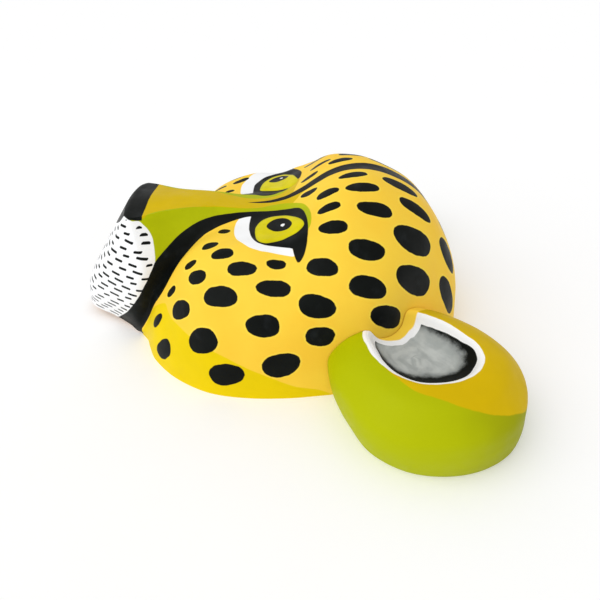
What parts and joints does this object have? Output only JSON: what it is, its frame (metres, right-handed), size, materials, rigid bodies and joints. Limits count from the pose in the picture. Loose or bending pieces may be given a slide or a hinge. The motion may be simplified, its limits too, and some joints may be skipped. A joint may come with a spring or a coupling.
{
  "type": "carved wooden spotted cat mask",
  "caption": "Hollow wooden animal mask with a long snout, painted spots, pegged cup ears and a swinging ring inside the crown to hang it by.",
  "frame": {"origin": "middle of the mask's box, on the plane of its flat back rim", "axes": "+Z out of the face, +Y to the crown, +X to the mask's own left ear"},
  "size_m": [0.3082, 0.2645, 0.1],
  "materials": {
    "head_paint": "satin hand-painted coat, yellow with black spots, on carved wood; bare wood inside",
    "ear_paint": "satin hand-painted coat, olive green and ochre, grey dish with a white rim",
    "peg_wood": "bare wood",
    "hanger_steel": "plain zinc-plated steel"
  },
  "bodies": {
    "mask": {"face_shell": "head_paint", "ear_left": "ear_paint", "ear_right": "ear_paint", "ear_peg_left_lower": "peg_wood", "ear_peg_left_upper": "peg_wood", "ear_peg_right_lower": "peg_wood", "ear_peg_right_upper": "peg_wood", "hanger_strap": "hanger_steel", "hanger_screw_lower": "hanger_steel", "hanger_screw_upper": "hanger_steel"},
    "ring": {"hanger_ring": "hanger_steel"}
  },
  "joints": [
    {"name": "ring_swing", "type": "hinge", "parent": "mask", "child": "ring", "pos_m": [0, 0.098, 0.024], "axis": [-1, 0, 0], "range_deg": [-12, 120]}
  ]
}
